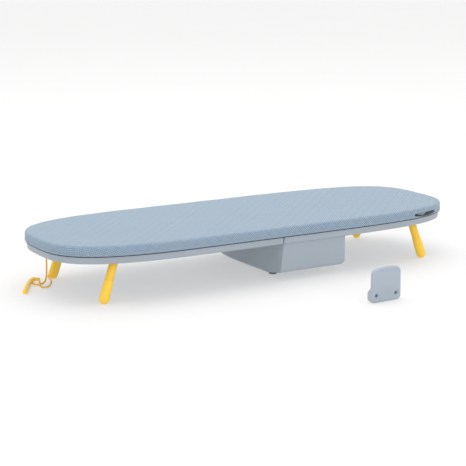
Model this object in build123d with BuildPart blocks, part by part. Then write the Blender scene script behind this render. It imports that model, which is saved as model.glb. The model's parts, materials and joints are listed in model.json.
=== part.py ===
from build123d import *

import math
import os

os.makedirs("parts", exist_ok=True)

# Folding table-top ironing board, all sizes in millimetres.
# X runs along the board, Y across it, Z up. The origin is on the table, under the middle of the
# fold. The right half carries the centre housing, the left half folds up and over onto it.

# Driving dimensions
LEFT, RIGHT = -1, 1         # sides of the fold, as signs of X
HALF_LENGTH = {LEFT: 400.5, RIGHT: 401.5}
BOARD_WIDTH = 289.0
END_LENGTH = {LEFT: 284.0, RIGHT: 334.0}    # length of board over which each end rounds off
END_POWER = {LEFT: 3.15, RIGHT: 3.52}       # squareness of the superelliptic end
END_STEP = 15               # degrees between the points of an end's curve
FOLD_Z = 98.6               # height of the fold axis
COVER_TOP_Z = 98.4
HEM_Z = 83.6
TRAY_TOP_Z = 87.5
TRAY_BOTTOM_Z = 70.0

# Tray
RAIL_HEAD_INSET = 2.0       # rail inside the fabric, at the tray's top
RAIL_FOOT_INSET = 3.4       # and at its bottom
RAIL_ROUNDING = 2.4
WALL = 3.0
FLOOR = 2.5
TRAY_SEAM = 1.2             # each tray stops this far from the fold line
RIB = 2.0
LONG_RIB_YS = (-48, 48)
CROSS_RIB_XS = (70, 140, 206, 328)
RIB_FIT = 0.2               # ribs run this far into the wall
CAVITY_Z = TRAY_BOTTOM_Z + FLOOR
HOLE_FIT = 0.1              # clearance round a screw
HEAD_FIT = 0.2              # clearance round a screw head
DECK_HEAD_SINK = 0.4        # deck screw heads sit this deep in the tray floor

# Deck, pad and cover
DECK_THICKNESS = 1.0
DECK_INSET = 3.6
DECK_SEAM = 1.6
DECK_TOP_Z = TRAY_TOP_Z + DECK_THICKNESS
VENT_RADIUS = 5.0
VENT_CENTRE_X = 205
VENT_PITCH = (44, 34)
VENT_COUNT = (7, 6)
PAD_INSET = 1.4
COVER_SIDE = 1.1
COVER_SHEET = 0.9
COVER_ROUNDING = 4.5
FOLD_OVERLAP = 2.0          # the cover's hollow is cut this far past the fold
COVER_FIT = 0.1             # gap between cover sheet and pad
SOFT_SEAM = 0.6

# Fold hinges
HINGE_YS = (-100.0, 0.0, 100.0)
HINGE_LENGTH = 40.0
LEAF = 1.0
LEAF_GAP = 0.3
LEAF_REACH = 21.0
KNUCKLE_RADIUS = 1.6
PIN_RADIUS = 0.8
PIN_CLEARANCE = 0.05
MIDDLE_KNUCKLE = 13.6
KNUCKLE_GAP = 0.2
RIVET_RADIUS = 1.2
RIVET_HEAD_RADIUS = 2.2
RIVET_HEAD = 0.7
RIVET_X = 12.0
RIVET_SPREAD = 12.0
RIVET_FIT = 0.05
HINGE_POCKET = HINGE_LENGTH / 2 + 1.0
KNUCKLE_POCKET = 2.3        # room for the knuckles beside the fold
LEAF_POCKET = 0.3           # room over the rivet heads
PIN_END = 0.6               # how far a pin stands out of the outer knuckles

# Legs
LEG_LEAN = 19.0             # degrees outward along the board, from upright
LEG_SPLAY = 3.4             # degrees outward across the board
LEG_RADIUS = 7.3
LEG_TUBE_WALL = 1.3
LEG_HEAD = 12.0             # solid length of the leg's head
CAP_RADIUS = 8.7
CAP_LIP = 0.4               # thickness of the cap where it starts
CAP_START = 42.0            # distance from the pivot along the leg
CAP_FULL = 60.0             # where the cap reaches its full radius
CAP_WALL_END = 66.0
CAP_SINK = 0.6              # how much of the round toe is cut flat
TOE_X = {LEFT: 326.0, RIGHT: 328.8}
TOE_Y = 103.5
TOE_Z = CAP_RADIUS - CAP_SINK
PIVOT_Z = 77.5
PIVOT_DROP = PIVOT_Z - TOE_Z
LEAN_SLOPE = math.tan(math.radians(LEG_LEAN))
SPLAY_SLOPE = math.tan(math.radians(LEG_SPLAY))
TOE_REACH = PIVOT_DROP * math.hypot(1, LEAN_SLOPE, SPLAY_SLOPE)
PIVOT_X = {side: TOE_X[side] - PIVOT_DROP * LEAN_SLOPE for side in (LEFT, RIGHT)}
LEG_Y = TOE_Y - PIVOT_DROP * SPLAY_SLOPE    # of the leg's head, on the axle
AXLE_RADIUS = 4.0
AXLE_HALF = 107.0
AXLE_CHAMFER = 0.6
AXLE_SLOT = 0.8             # clearance of the axle in the ribs and wells
BEARING_CLEARANCE = 0.05
BEARING_YS = (-82.0, 82.0)
BEARING_WIDTH = 10.0
BEARING_LENGTH = 24.0
BEARING_TOP_FIT = 0.2
BEARING_ROUNDING = 3.0
COLLAR_RADIUS = 4.9
COLLAR_WIDTH = 4.0
COLLAR_GAP = 0.4
WELL_INNER = 86.0           # from the pivot towards the fold
WELL_OUTER = 10.7           # from the pivot towards the end
WELL_Y = (90.4, 113.8)
WELL_WALL = 1.6

# Screws
SCREW_RADIUS = 1.5
SCREW_HEAD_RADIUS = 3.0
SCREW_HEAD = 1.6
SCREW_SLOT = 0.7
BOSS_RADIUS = 4.8
DECK_SCREWS = ((28, -118), (28, 118), (190, -120), (190, 120), (352, -58), (352, 58), (175, 0))
BEARING_SCREW_X = 8.0
BEARING_SCREW_LENGTH = 11.0
BEARING_SCREW_ROOM = 0.5
DECK_SCREW_END = 0.1        # the tips stop this far below the deck's top
HOUSING_SCREWS = ((24, -62), (24, 62), (112, -62), (112, 62))
HOUSING_SCREW_LENGTH = 14.0

# Centre housing under the right half
HOUSING_LEFT = 1.6
HOUSING_RIGHT = 139.5
HOUSING_TOP_HALF = 137.0    # half width at the tray
HOUSING_CHINE_HALF = 129.8  # half width at the chine, the edge between wall and belly
HOUSING_FRONT_CHINE_Z = 16.5
HOUSING_REAR_CHINE_Z = 18.0
HOUSING_FLAT_Y = (-76.0, 25.0)              # the flat bottom, between its slopes to the chines
HOUSING_BOTTOM_Z = 7.0
HOUSING_CHINE_ROUNDING = 7.0
HOUSING_SKIN = 2.5
HOUSING_LEFT_ROUNDING = 6.0
HOUSING_RIGHT_ROUNDING = 29.0
HOUSING_LEFT_CORNER = 6.0   # upright corners beside the fold
HOUSING_RIGHT_CORNER = 16.0
HOUSING_BOSS_Z = 48.0
HOUSING_BOSS_SOLID = 3.0
HOUSING_WEB_DROP = 4.0
HOUSING_FEET = ((24, -68), (34, 16), (98, -48), (98, 16))
RUBBER_RADIUS = 7.2
RUBBER_ROUNDING = 1.5
RUBBER_STEM = 2.6
RUBBER_STEM_LENGTH = 1.5    # past the housing's skin

# Label sewn on the hem
LABEL_X = (291.0, 347.0)
LABEL_THICKNESS = 0.5
LABEL_Z = (84.4, 91.4)

# Wall hook, standing on the table in front of the board
HOOK_X = 80.0
HOOK_Y = -332.3
HOOK_TURN = 2.5             # degrees about Z
HOOK_WIDTH = 61.5
HOOK_TOP_WIDTH = 59.5
HOOK_HEIGHT = 59.0          # at the middle of the crowned top
HOOK_SHOULDER = 55.5        # at the top's ends
HOOK_TOP_CORNER = 10.0
HOOK_FOOT_CORNER = 8.0
HOOK_FRONT_ROUNDING = 3.0
HOOK_PLATE = 5.5
HOOK_DEPTH = 13.0
HOOK_BASE = 25.0            # height of the foot where it leaves the plate
HOOK_FOOT_TOP = 17.0        # and at its back
HOOK_THROAT = 5.0
HOOK_BACK_TOP_ROUNDING = 4.5
HOOK_BACK_FOOT_ROUNDING = 5.5
HOOK_HOLE_X = 20.5
HOOK_HOLE_Z = 12.0
HOOK_HOLE_RADIUS = 2.6
HOOK_SINK_RADIUS = 5.2
HOOK_SINK = 2.0

# Drawstring of the cover and its soft pull
CORD_RADIUS = 1.5
ARC_SHARE = 0.45            # share of a run that the arc at each of its ends may take
EYELET_BOTTOM_Z = 69.0
EYELET_RADIUS = 3.6
EYELET_ROUNDING = 0.6
CORD_ROUTE = [
    (-346.0, 85.0, EYELET_BOTTOM_Z), (-346.0, 85.0, 47.0), (-346.3, 84.6, 26.0), (-347.6, 83.2, 10.5),
    (-351.4, 79.8, 3.6), (-357.4, 74.2, 1.8), (-363.9, 68.6, 1.8), (-371.0, 66.2, 1.8),
    (-375.4, 70.6, 1.8), (-375.2, 78.4, 2.2), (-373.2, 86.4, 3.6), (-370.0, 93.6, 4.6),
    (-365.8, 96.6, 4.6), (-361.2, 94.6, 4.7), (-359.3, 89.6, 4.9), (-361.0, 82.4, 5.4),
    (-364.6, 74.6, 5.9), (-368.4, 66.4, 5.9), (-371.9, 58.0, 4.6), (-373.4, 50.4, 2.2),
    (-370.8, 44.0, 1.8), (-364.2, 42.3, 1.8), (-357.8, 48.6, 1.8), (-351.2, 58.6, 1.8),
    (-344.8, 70.0, 1.8), (-339.0, 82.8, 1.8), (-336.6, 96.0, 1.8), (-334.6, 107.8, 2.2),
    (-329.4, 115.6, 5.0), (-322.6, 118.4, 13.0), (-319.0, 118.4, 27.0), (-318.2, 118.0, 47.0),
    (-318.2, 118.0, EYELET_BOTTOM_Z),
]
PULL_RADIUS = 4.3
PULL_ROUTE = [
    (-412.5, 24.5, 4.4), (-400.0, 47.0, 4.4), (-388.9, 66.7, 4.4), (-380.3, 80.8, 4.5),
    (-374.0, 90.0, 4.6), (-370.0, 94.6, 4.6), (-365.8, 96.6, 4.6), (-361.2, 94.6, 4.7),
    (-359.3, 89.6, 4.9),
]


def end_curve(side, inset):
    """Points of one superelliptic end, from the front edge round to the rear one."""
    half = BOARD_WIDTH / 2 - inset
    start = HALF_LENGTH[side] - END_LENGTH[side]
    reach = END_LENGTH[side] - inset
    share = 2 / END_POWER[side]
    points = []
    for degrees in range(-90, 91, END_STEP):
        angle = math.radians(degrees)
        along = abs(math.cos(angle)) ** share
        across = math.copysign(abs(math.sin(angle)) ** share, angle)
        points.append((side * (start + reach * along), half * across))
    return points


def half_outline(side, inset, seam, mode=Mode.ADD):
    """Plan of one half: straight along the fold, superelliptic round the far end."""
    half = BOARD_WIDTH / 2 - inset
    points = end_curve(side, inset)
    with BuildLine() as outline:
        Spline(*points, tangents=((side, 0), (-side, 0)))
        Polyline(points[-1], (side * seam, half), (side * seam, -half), points[0])
    make_face(outline.edges(), mode=mode)


def block(x, y, z, mode=Mode.ADD):
    """A box given by its low and high corner along each axis."""
    centre = ((x[0] + x[1]) / 2, (y[0] + y[1]) / 2, (z[0] + z[1]) / 2)
    with Locations(centre):
        Box(abs(x[1] - x[0]), abs(y[1] - y[0]), abs(z[1] - z[0]), mode=mode)


def mirrored(side, low, high):
    """An X range on the given side of the fold, low end first."""
    return tuple(sorted((side * low, side * high)))


def rod_y(x, z, y, radius, mode=Mode.ADD):
    """A round bar along Y between the two ends in y."""
    with BuildSketch(Plane.XZ.offset(-y[1])) as profile:
        with Locations((x, z)):
            Circle(radius)
    extrude(profile.sketch, amount=y[1] - y[0], mode=mode)


def posts(points, radius, z, mode=Mode.ADD):
    """Upright round bars at the given points between the two heights in z."""
    with BuildSketch(Plane.XY.offset(z[0])) as profile:
        with Locations(*points):
            Circle(radius)
    extrude(profile.sketch, amount=z[1] - z[0], mode=mode)


def screws(points, head_z, tip_z):
    """Slotted screws with the head face at head_z and the tip at tip_z, as one group."""
    up = 1 if tip_z > head_z else -1
    shoulder_z = head_z + up * SCREW_HEAD
    with BuildPart() as group:
        posts(points, SCREW_HEAD_RADIUS, tuple(sorted((head_z, shoulder_z))))
        posts(points, SCREW_RADIUS, tuple(sorted((shoulder_z, tip_z))))
        with BuildSketch(Plane.XY.offset(head_z)):
            with Locations(*points):
                Rectangle(2 * SCREW_HEAD_RADIUS, SCREW_SLOT)
        extrude(amount=up * SCREW_SLOT, mode=Mode.SUBTRACT)
    return group.part


def corner(sketch, across, up):
    """The corner of a sketch at this place in its own plane."""
    return sketch.vertices().sort_by(lambda v: math.hypot(v.X - across, v.Y - up))[0]


def save(part, name):
    part.label = name
    export_step(part, f"parts/{name}.step")


def make_tray(side):
    """Moulded tray: rail, floor, ribs, screw bosses and the wells that the legs fold into."""
    with BuildPart() as tray:
        with BuildSketch(Plane.XY.offset(TRAY_BOTTOM_Z)):
            half_outline(side, RAIL_FOOT_INSET, TRAY_SEAM)
        with BuildSketch(Plane.XY.offset(TRAY_TOP_Z)):
            half_outline(side, RAIL_HEAD_INSET, TRAY_SEAM)
        loft(ruled=True)
        bottom = tray.faces().sort_by(Axis.Z)[0]
        fillet(bottom.edges(), radius=RAIL_ROUNDING)
        with BuildSketch(Plane.XY.offset(CAVITY_Z)):
            half_outline(side, RAIL_FOOT_INSET + WALL, TRAY_SEAM + WALL)
        extrude(amount=TRAY_TOP_Z - CAVITY_Z, mode=Mode.SUBTRACT)
        with BuildSketch(Plane.XY.offset(CAVITY_Z)):
            half = HALF_LENGTH[side]
            for y in LONG_RIB_YS:
                with Locations((side * half / 2, y)):
                    Rectangle(half, RIB)
            for x in CROSS_RIB_XS:
                with Locations((side * x, 0)):
                    Rectangle(RIB, BOARD_WIDTH)
            half_outline(side, RAIL_FOOT_INSET + WALL - RIB_FIT, TRAY_SEAM + WALL - RIB_FIT, Mode.INTERSECT)
        extrude(amount=TRAY_TOP_Z - CAVITY_Z)
        for y in (-1, 1):
            block(well_x(side, WELL_WALL), well_y(y, WELL_WALL), (CAVITY_Z, TRAY_TOP_Z))
        for y in (-1, 1):
            block(well_x(side, 0), well_y(y, 0), (TRAY_BOTTOM_Z, TRAY_TOP_Z), Mode.SUBTRACT)
        slot_end = AXLE_HALF + AXLE_SLOT + WELL_WALL
        rod_y(side * PIVOT_X[side], PIVOT_Z, (-slot_end, slot_end), AXLE_RADIUS + AXLE_SLOT, Mode.SUBTRACT)
        bosses = deck_screw_points(side)
        head_z = TRAY_BOTTOM_Z + SCREW_HEAD
        posts(bosses, BOSS_RADIUS, (CAVITY_Z, TRAY_TOP_Z))
        posts(bosses, SCREW_HEAD_RADIUS + HEAD_FIT, (TRAY_BOTTOM_Z, head_z + DECK_HEAD_SINK), Mode.SUBTRACT)
        posts(bosses, SCREW_RADIUS + HOLE_FIT, (TRAY_BOTTOM_Z, TRAY_TOP_Z), Mode.SUBTRACT)
        bearing = bearing_screw_points(side)
        posts(bearing, SCREW_HEAD_RADIUS + HEAD_FIT, (TRAY_BOTTOM_Z, head_z), Mode.SUBTRACT)
        posts(bearing, SCREW_RADIUS + HOLE_FIT, (TRAY_BOTTOM_Z, CAVITY_Z), Mode.SUBTRACT)
        if side == RIGHT:
            posts(HOUSING_SCREWS, SCREW_RADIUS + HOLE_FIT, (TRAY_BOTTOM_Z, CAVITY_Z), Mode.SUBTRACT)
    return tray.part


def well_x(side, wall):
    """X range of the wells that the legs of one end fold into."""
    return mirrored(side, PIVOT_X[side] - WELL_INNER - wall, PIVOT_X[side] + WELL_OUTER + wall)


def well_y(place, wall):
    """Y range of the front (-1) or rear (1) well."""
    return mirrored(place, WELL_Y[0] - wall, WELL_Y[1] + wall)


def deck_screw_points(side):
    return [(side * x, y) for x, y in DECK_SCREWS]


def bearing_screw_points(side):
    offsets = (-BEARING_SCREW_X, BEARING_SCREW_X)
    return [(side * (PIVOT_X[side] + dx), y) for dx in offsets for y in BEARING_YS]


def rivet_points(side):
    spread = (-RIVET_SPREAD, RIVET_SPREAD)
    return [(side * RIVET_X, hinge + dy) for hinge in HINGE_YS for dy in spread]


def make_deck(side):
    """Vented steel deck plate that closes the tray and carries the pad."""
    with BuildPart() as deck:
        with BuildSketch(Plane.XY.offset(TRAY_TOP_Z)):
            half_outline(side, DECK_INSET, DECK_SEAM)
            with Locations(*deck_screw_points(side)):
                Circle(SCREW_RADIUS + HOLE_FIT, mode=Mode.SUBTRACT)
            with Locations(*rivet_points(side)):
                Circle(RIVET_RADIUS + RIVET_FIT, mode=Mode.SUBTRACT)
            with Locations((side * VENT_CENTRE_X, 0)):
                with GridLocations(*VENT_PITCH, *VENT_COUNT):
                    Circle(VENT_RADIUS, mode=Mode.SUBTRACT)
        extrude(amount=DECK_THICKNESS)
    return deck.part


def cut_hinge_pockets(side):
    """Room for the hinge leaves and knuckles in the soft layers beside the fold."""
    for hinge in HINGE_YS:
        span = (hinge - HINGE_POCKET, hinge + HINGE_POCKET)
        block(mirrored(side, 0, KNUCKLE_POCKET), span, (HEM_Z, FOLD_Z + KNUCKLE_RADIUS), Mode.SUBTRACT)
        leaf_top = DECK_TOP_Z + LEAF + RIVET_HEAD + LEAF_POCKET
        block(mirrored(side, 0, LEAF_REACH + 1), span, (DECK_TOP_Z, leaf_top), Mode.SUBTRACT)


def away_from_fold(edge):
    return abs(edge.center().X) > FOLD_OVERLAP


def make_pad(side):
    """Felt pad between deck and cover, a plain solid with a rounded top edge."""
    with BuildPart() as pad:
        with BuildSketch(Plane.XY.offset(DECK_TOP_Z)):
            half_outline(side, PAD_INSET, SOFT_SEAM)
        extrude(amount=COVER_TOP_Z - COVER_SHEET - COVER_FIT - DECK_TOP_Z)
        rim = pad.faces().sort_by(Axis.Z)[-1].edges().filter_by(away_from_fold)
        fillet(rim, radius=COVER_ROUNDING - COVER_SIDE)
        cut_hinge_pockets(side)
    return pad.part


def make_cover(side):
    """Fabric cover: top sheet with a skirt down to the hem, open along the fold."""
    with BuildPart() as cavity:
        with BuildSketch(Plane.XY.offset(HEM_Z)):
            half_outline(side, COVER_SIDE, -FOLD_OVERLAP)
        extrude(amount=COVER_TOP_Z - COVER_SHEET - HEM_Z)
        rim = cavity.faces().sort_by(Axis.Z)[-1].edges().filter_by(lambda e: side * e.center().X > 0)
        fillet(rim, radius=COVER_ROUNDING - COVER_SIDE)
    with BuildPart() as cover:
        with BuildSketch(Plane.XY.offset(HEM_Z)):
            half_outline(side, 0, SOFT_SEAM)
        extrude(amount=COVER_TOP_Z - HEM_Z)
        rim = cover.faces().sort_by(Axis.Z)[-1].edges().filter_by(away_from_fold)
        fillet(rim, radius=COVER_ROUNDING)
        add(cavity.part, mode=Mode.SUBTRACT)
        cut_hinge_pockets(side)
    return cover.part


def make_hinge_leaves(side):
    """Swaged leaves of the three fold hinges on one half: outer knuckles right, middle one left."""
    middle = (-MIDDLE_KNUCKLE / 2, MIDDLE_KNUCKLE / 2)
    half = HINGE_LENGTH / 2
    inner = MIDDLE_KNUCKLE / 2 + KNUCKLE_GAP
    spans = [(-half, -inner), (inner, half)] if side > 0 else [middle]
    with BuildPart() as leaves:
        for hinge in HINGE_YS:
            whole = (hinge - half, hinge + half)
            block(mirrored(side, LEAF_GAP, LEAF_REACH), whole, (DECK_TOP_Z, DECK_TOP_Z + LEAF))
            block(mirrored(side, LEAF_GAP, LEAF_GAP + LEAF), whole, (DECK_TOP_Z, FOLD_Z - KNUCKLE_RADIUS - LEAF_GAP))
            for low, high in spans:
                span = (hinge + low, hinge + high)
                block(mirrored(side, LEAF_GAP, LEAF_GAP + LEAF), span, (DECK_TOP_Z, FOLD_Z - PIN_RADIUS))
                rod_y(0, FOLD_Z, span, KNUCKLE_RADIUS)
                rod_y(0, FOLD_Z, span, PIN_RADIUS + PIN_CLEARANCE, Mode.SUBTRACT)
        posts(rivet_points(side), RIVET_RADIUS + RIVET_FIT, (DECK_TOP_Z, DECK_TOP_Z + LEAF), Mode.SUBTRACT)
    return leaves.part


def make_hinge_pins():
    """Hinge pins, peened over a little past the outer knuckles."""
    reach = HINGE_LENGTH / 2 + PIN_END
    with BuildPart() as pins:
        for hinge in HINGE_YS:
            rod_y(0, FOLD_Z, (hinge - reach, hinge + reach), PIN_RADIUS)
    return pins.part


def make_rivets(side):
    """Rivets that hold the hinge leaves to the deck."""
    leaf_top = DECK_TOP_Z + LEAF
    with BuildPart() as rivets:
        posts(rivet_points(side), RIVET_RADIUS, (TRAY_TOP_Z, leaf_top))
        posts(rivet_points(side), RIVET_HEAD_RADIUS, (leaf_top, leaf_top + RIVET_HEAD))
        posts(rivet_points(side), RIVET_HEAD_RADIUS, (TRAY_TOP_Z - RIVET_HEAD, TRAY_TOP_Z))
    return rivets.part


def leg_plane(side, place, reach=0.0):
    """Plane square to the front (-1) or rear (1) leg of a side, at a distance from its pivot."""
    pivot = Vector(side * PIVOT_X[side], place * LEG_Y, PIVOT_Z)
    towards = Vector(side * LEAN_SLOPE, place * SPLAY_SLOPE, -1).normalized()
    return Plane(origin=pivot + towards * reach, x_dir=(0, 1, 0), z_dir=towards)


def make_leg(side, place):
    """Steel leg tube with a solid rounded head that is fixed on the axle."""
    with BuildPart() as leg:
        with BuildSketch(leg_plane(side, place)):
            Circle(LEG_RADIUS)
        extrude(amount=CAP_WALL_END)
        with Locations(leg_plane(side, place).origin):
            Sphere(LEG_RADIUS)
        with BuildSketch(leg_plane(side, place, LEG_HEAD)):
            Circle(LEG_RADIUS - LEG_TUBE_WALL)
        extrude(amount=CAP_WALL_END, mode=Mode.SUBTRACT)
        bore = mirrored(place, LEG_Y - 2 * LEG_RADIUS, LEG_Y + 2 * LEG_RADIUS)
        rod_y(side * PIVOT_X[side], PIVOT_Z, bore, AXLE_RADIUS, Mode.SUBTRACT)
    return leg.part


def make_foot_cap(side, place):
    """Rubber foot cap: it swells along the leg's end to a round toe, cut flat where it stands."""
    with BuildPart() as cap:
        with BuildSketch(leg_plane(side, place, CAP_START)):
            Circle(LEG_RADIUS + CAP_LIP)
        with BuildSketch(leg_plane(side, place, CAP_FULL)):
            Circle(CAP_RADIUS)
        loft()
        with BuildSketch(leg_plane(side, place, CAP_FULL)):
            Circle(CAP_RADIUS)
        extrude(amount=TOE_REACH - CAP_FULL)
        toe = leg_plane(side, place, TOE_REACH).origin
        with Locations(toe):
            Sphere(CAP_RADIUS)
        with BuildSketch(leg_plane(side, place, LEG_HEAD)):
            Circle(LEG_RADIUS)
        extrude(amount=CAP_WALL_END - LEG_HEAD, mode=Mode.SUBTRACT)
        x_span = (toe.X - 2 * CAP_RADIUS, toe.X + 2 * CAP_RADIUS)
        y_span = (toe.Y - 2 * CAP_RADIUS, toe.Y + 2 * CAP_RADIUS)
        block(x_span, y_span, (-CAP_RADIUS, 0), Mode.SUBTRACT)
    return cap.part


def make_axle(side):
    """Steel axle that joins the two legs of one end."""
    with BuildPart() as axle:
        rod_y(side * PIVOT_X[side], PIVOT_Z, (-AXLE_HALF, AXLE_HALF), AXLE_RADIUS)
        chamfer(axle.edges().filter_by(GeomType.CIRCLE), length=AXLE_CHAMFER)
    return axle.part


def make_collars(side):
    """Push-on collars inside the bearings, which stop the axle from sliding."""
    x = side * PIVOT_X[side]
    with BuildPart() as collars:
        for y in BEARING_YS:
            outer = abs(y) - BEARING_WIDTH / 2 - COLLAR_GAP
            rod_y(x, PIVOT_Z, mirrored(math.copysign(1, y), outer - COLLAR_WIDTH, outer), COLLAR_RADIUS)
        rod_y(x, PIVOT_Z, (-AXLE_HALF, AXLE_HALF), AXLE_RADIUS, Mode.SUBTRACT)
    return collars.part


def make_bearings(side):
    """Bearing blocks between tray floor and deck, which the axle turns in."""
    pivot = PIVOT_X[side]
    x = mirrored(side, pivot - BEARING_LENGTH / 2, pivot + BEARING_LENGTH / 2)
    with BuildPart() as bearings:
        for y in BEARING_YS:
            span = (y - BEARING_WIDTH / 2, y + BEARING_WIDTH / 2)
            block(x, span, (CAVITY_Z, TRAY_TOP_Z - BEARING_TOP_FIT))
        fillet(bearings.edges().filter_by(Axis.Y).group_by(Axis.Z)[-1], radius=BEARING_ROUNDING)
        bore = AXLE_RADIUS + BEARING_CLEARANCE
        rod_y(side * pivot, PIVOT_Z, (-AXLE_HALF, AXLE_HALF), bore, Mode.SUBTRACT)
        tip_z = TRAY_BOTTOM_Z + BEARING_SCREW_LENGTH + BEARING_SCREW_ROOM
        posts(bearing_screw_points(side), SCREW_RADIUS, (CAVITY_Z, tip_z), Mode.SUBTRACT)
    return bearings.part


def housing_section(inset):
    """Housing seen along the board: leaning walls, rounded chines and slopes to a flat bottom."""
    top_half, chine_half = HOUSING_TOP_HALF - inset, HOUSING_CHINE_HALF - inset
    front = (-chine_half, HOUSING_FRONT_CHINE_Z + inset)
    rear = (chine_half, HOUSING_REAR_CHINE_Z + inset)
    flat = [(y, HOUSING_BOTTOM_Z + inset) for y in HOUSING_FLAT_Y]
    with BuildSketch(Plane.YZ.offset(HOUSING_LEFT)) as section:
        with BuildLine():
            Polyline((-top_half, TRAY_BOTTOM_Z), front, *flat, rear, (top_half, TRAY_BOTTOM_Z), close=True)
        make_face()
        chines = [corner(section, *front), corner(section, *rear)]
        fillet(chines, radius=HOUSING_CHINE_ROUNDING - inset)
    return section.sketch


def housing_profile(inset):
    """Housing seen across the board: upright walls, a small near rounding and a large far one."""
    left, right = HOUSING_LEFT + inset, HOUSING_RIGHT - inset
    bottom = HOUSING_BOTTOM_Z + inset
    with BuildSketch(Plane.XZ.offset(-HOUSING_TOP_HALF)) as profile:
        with BuildLine():
            Polyline((left, TRAY_BOTTOM_Z), (right, TRAY_BOTTOM_Z), (right, bottom), (left, bottom), close=True)
        make_face()
        fillet(corner(profile, left, bottom), radius=HOUSING_LEFT_ROUNDING - inset)
        fillet(corner(profile, right, bottom), radius=HOUSING_RIGHT_ROUNDING - inset)
    return profile.sketch


def housing_shape(inset):
    """Tub that both outlines share, with its upright corners rounded in plan."""
    half = HOUSING_TOP_HALF - inset
    left, right = HOUSING_LEFT + inset, HOUSING_RIGHT - inset
    with BuildPart() as tub:
        extrude(housing_section(inset), amount=HOUSING_RIGHT - HOUSING_LEFT)
        extrude(housing_profile(inset), amount=2 * HOUSING_TOP_HALF, mode=Mode.INTERSECT)
        with BuildSketch(Plane.XY.offset(HOUSING_BOTTOM_Z)) as plan:
            with BuildLine():
                Polyline((left, -half), (right, -half), (right, half), (left, half), close=True)
            make_face()
            for x, radius in ((left, HOUSING_LEFT_CORNER), (right, HOUSING_RIGHT_CORNER)):
                corners = [corner(plan, x, -half), corner(plan, x, half)]
                fillet(corners, radius=radius - inset)
        extrude(plan.sketch, amount=TRAY_BOTTOM_Z - HOUSING_BOTTOM_Z, mode=Mode.INTERSECT)
    return tub.part


def make_housing():
    """Hollow centre housing, open at the top where the tray floor closes it."""
    outer = housing_shape(0)
    inner = housing_shape(HOUSING_SKIN)
    with BuildPart() as housing:
        add(outer)
        add(inner, mode=Mode.SUBTRACT)
        posts(HOUSING_SCREWS, BOSS_RADIUS, (HOUSING_BOSS_Z, TRAY_BOTTOM_Z))
        for x, y in HOUSING_SCREWS:
            edge = HOUSING_LEFT + RIB if x < HOUSING_RIGHT / 2 else HOUSING_RIGHT - RIB
            web_z = (HOUSING_BOSS_Z + HOUSING_WEB_DROP, TRAY_BOTTOM_Z)
            block(tuple(sorted((x, edge))), (y - RIB / 2, y + RIB / 2), web_z)
        hole_z = HOUSING_BOSS_Z + HOUSING_BOSS_SOLID
        posts(HOUSING_SCREWS, SCREW_RADIUS, (hole_z, TRAY_BOTTOM_Z), Mode.SUBTRACT)
        stem_z = (HOUSING_BOTTOM_Z, HOUSING_BOTTOM_Z + HOUSING_SKIN)
        posts(HOUSING_FEET, RUBBER_STEM, stem_z, Mode.SUBTRACT)
    return housing.part


def make_housing_feet():
    """Rubber feet with stems that push into the housing's bottom."""
    with BuildPart() as feet:
        posts(HOUSING_FEET, RUBBER_RADIUS, (0, HOUSING_BOTTOM_Z))
        fillet(feet.edges().group_by(Axis.Z)[0], radius=RUBBER_ROUNDING)
        stem_top = HOUSING_BOTTOM_Z + HOUSING_SKIN + RUBBER_STEM_LENGTH
        posts(HOUSING_FEET, RUBBER_STEM, (HOUSING_BOTTOM_Z, stem_top))
    return feet.part


def make_label():
    """Plain woven label on the skirt of the cover, just above the hem at the outer front corner."""
    with BuildPart() as label:
        with BuildSketch(Plane.XY.offset(LABEL_Z[0])):
            with Locations(((LABEL_X[0] + LABEL_X[1]) / 2, -BOARD_WIDTH / 4)):
                Rectangle(LABEL_X[1] - LABEL_X[0], BOARD_WIDTH / 2 + 2 * LABEL_THICKNESS)
            half_outline(RIGHT, -LABEL_THICKNESS, SOFT_SEAM, Mode.INTERSECT)
            half_outline(RIGHT, 0, SOFT_SEAM, Mode.SUBTRACT)
        extrude(amount=LABEL_Z[1] - LABEL_Z[0])
    return label.part


def hook_side():
    """Side view of the hook, front at Y 0: a plate whose foot swells out to the back."""
    with BuildSketch(Plane.YZ.offset(-HOOK_WIDTH / 2)) as side:
        with BuildLine():
            Polyline((0, 0), (0, HOOK_HEIGHT), (HOOK_PLATE, HOOK_HEIGHT), (HOOK_PLATE, HOOK_BASE),
                     (HOOK_DEPTH, HOOK_FOOT_TOP), (HOOK_DEPTH, 0), close=True)
        make_face()
        fillet(corner(side, HOOK_PLATE, HOOK_BASE), radius=HOOK_THROAT)
        fillet(corner(side, HOOK_DEPTH, HOOK_FOOT_TOP), radius=HOOK_BACK_TOP_ROUNDING)
        fillet(corner(side, HOOK_DEPTH, 0), radius=HOOK_BACK_FOOT_ROUNDING)
    return side.sketch


def hook_outline():
    """Front view of the hook as a slab: sides that lean in a little, round corners, a crowned top."""
    half, top_half = HOOK_WIDTH / 2, HOOK_TOP_WIDTH / 2
    with BuildPart() as slab:
        with BuildSketch(Plane.XZ):
            with BuildLine():
                Polyline((-top_half, HOOK_SHOULDER), (-half, 0), (half, 0), (top_half, HOOK_SHOULDER))
                ThreePointArc((top_half, HOOK_SHOULDER), (0, HOOK_HEIGHT), (-top_half, HOOK_SHOULDER))
            make_face()
        extrude(amount=-HOOK_DEPTH)
        fillet(slab.edges().filter_by(Axis.Y).group_by(Axis.Z)[-1], radius=HOOK_TOP_CORNER)
        fillet(slab.edges().filter_by(Axis.Y).group_by(Axis.Z)[0], radius=HOOK_FOOT_CORNER)
    return slab.part


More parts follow.
